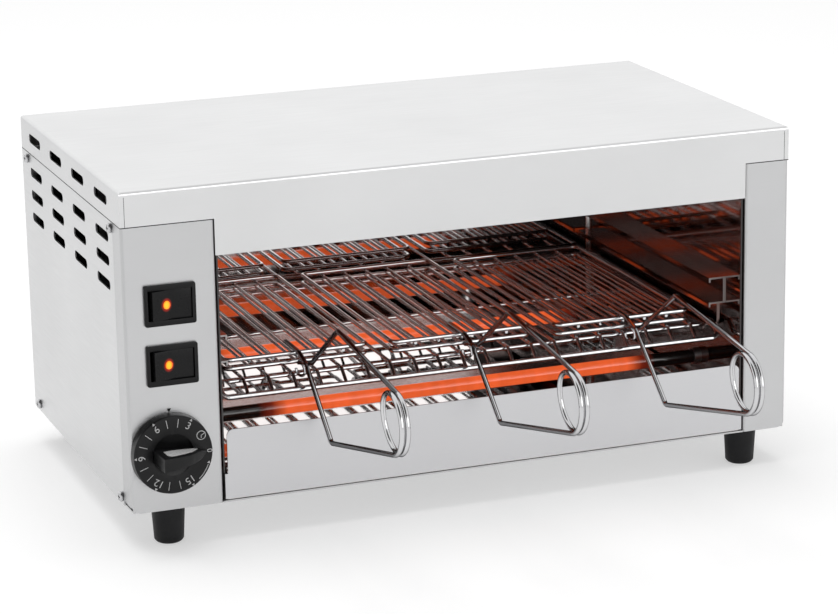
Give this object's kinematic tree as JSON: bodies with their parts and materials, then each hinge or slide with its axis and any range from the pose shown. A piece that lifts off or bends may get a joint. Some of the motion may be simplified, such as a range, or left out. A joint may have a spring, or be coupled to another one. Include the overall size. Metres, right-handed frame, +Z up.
{
  "type": "salamander grill",
  "caption": "Counter-top toasting grill: open-fronted steel case with quartz tube heaters, wire rack, spring tongs, crumb tray, rocker switches and a timer knob.",
  "frame": {"origin": "on the table under the middle of the part's bounding box", "axes": "+X to the right seen from the front, +Y to the back, +Z up"},
  "size_m": [0.4444, 0.4216, 0.224],
  "materials": {
    "case_steel": "satin",
    "bright_steel": "bright annealed",
    "quartz": "clear",
    "heating_wire": "glowing",
    "bush_metal": "satin",
    "ceramic": "unglazed",
    "strap_brass": "plain",
    "chromed_wire": "bright",
    "switch_black": "semi-gloss",
    "lens_amber": "clear",
    "timer_metal": "plated",
    "knob_black": "satin",
    "insert_grey": "satin",
    "gland_plastic": "moulded",
    "foot_rubber": "moulded",
    "screw_steel": "plated"
  },
  "bodies": {
    "case": {"top_cover": "case_steel", "left_column": "case_steel", "right_column": "case_steel", "left_side_panel": "case_steel", "right_side_panel": "case_steel", "rear_panel": "case_steel", "base_pan": "case_steel", "left_partition": "bright_steel", "right_partition": "bright_steel", "back_reflector": "bright_steel", "top_reflector": "bright_steel", "left_rail": "bright_steel", "right_rail": "bright_steel", "low_front_tube": "quartz", "low_rear_tube": "quartz", "high_front_tube": "quartz", "high_rear_tube": "quartz", "heater_coils": "heating_wire", "tube_bushes": "bush_metal", "tube_caps": "ceramic", "link_straps": "strap_brass", "high_switch_housing": "switch_black", "low_switch_housing": "switch_black", "timer_body": "timer_metal", "terminal_block": "ceramic", "cable_gland": "gland_plastic", "gland_nut": "gland_plastic", "feet": "foot_rubber", "foot_screws": "screw_steel", "side_screws": "screw_steel", "rear_screws": "screw_steel"},
    "tray": {"crumb_tray": "case_steel"},
    "knob": {"timer_knob": "knob_black", "knob_insert": "insert_grey", "timer_shaft": "timer_metal"},
    "upper_rocker": {"high_rocker": "switch_black", "high_lens": "lens_amber"},
    "lower_rocker": {"low_rocker": "switch_black", "low_lens": "lens_amber"},
    "rack_unit": {"rack": "chromed_wire"},
    "tong_1": {"tong_1_low_grid": "chromed_wire", "tong_1_high_handle": "chromed_wire"},
    "tong_1_jaw": {"tong_1_high_grid": "chromed_wire", "tong_1_low_handle": "chromed_wire"},
    "tong_2": {"tong_2_low_grid": "chromed_wire", "tong_2_high_handle": "chromed_wire"},
    "tong_2_jaw": {"tong_2_high_grid": "chromed_wire", "tong_2_low_handle": "chromed_wire"},
    "tong_3": {"tong_3_low_grid": "chromed_wire", "tong_3_high_handle": "chromed_wire"},
    "tong_3_jaw": {"tong_3_high_grid": "chromed_wire", "tong_3_low_handle": "chromed_wire"}
  },
  "joints": [
    {"name": "tray_slide", "type": "slide", "parent": "case", "child": "tray", "axis": [0, -1, 0], "range_m": [0, 0.011]},
    {"name": "rack_slide", "type": "slide", "parent": "case", "child": "rack_unit", "axis": [0, -1, 0], "range_m": [0, 0.18]},
    {"name": "knob_turn", "type": "hinge", "parent": "case", "child": "knob", "pos_m": [-0.1946, -0.04822, 0.061], "axis": [0, 1, 0], "range_deg": [-115, 215]},
    {"name": "upper_rocker_tip", "type": "hinge", "parent": "case", "child": "upper_rocker", "pos_m": [-0.19145, -0.04423, 0.15325], "axis": [0, 0, -1], "range_deg": [0, 16]},
    {"name": "lower_rocker_tip", "type": "hinge", "parent": "case", "child": "lower_rocker", "pos_m": [-0.19145, -0.04423, 0.11585], "axis": [0, 0, -1], "range_deg": [0, 16]},
    {"name": "tong_1_slide", "type": "slide", "parent": "rack_unit", "child": "tong_1", "axis": [0, -1, 0], "range_m": [0, 0.19]},
    {"name": "tong_1_open", "type": "hinge", "parent": "tong_1", "child": "tong_1_jaw", "pos_m": [-0.09825, -0.18122, 0.10515], "axis": [1, 0, 0], "range_deg": [0, 9], "stiffness_Nm_per_rad": 3, "springref_deg": -2.86},
    {"name": "tong_2_slide", "type": "slide", "parent": "rack_unit", "child": "tong_2", "axis": [0, -1, 0], "range_m": [0, 0.19]},
    {"name": "tong_2_open", "type": "hinge", "parent": "tong_2", "child": "tong_2_jaw", "pos_m": [0.011, -0.18473, 0.10515], "axis": [1, 0, 0], "range_deg": [0, 9], "stiffness_Nm_per_rad": 3, "springref_deg": -2.86},
    {"name": "tong_3_slide", "type": "slide", "parent": "rack_unit", "child": "tong_3", "axis": [0, -1, 0], "range_m": [0, 0.19]},
    {"name": "tong_3_open", "type": "hinge", "parent": "tong_3", "child": "tong_3_jaw", "pos_m": [0.12025, -0.19123, 0.10515], "axis": [1, 0, 0], "range_deg": [0, 9], "stiffness_Nm_per_rad": 3, "springref_deg": -2.86}
  ]
}
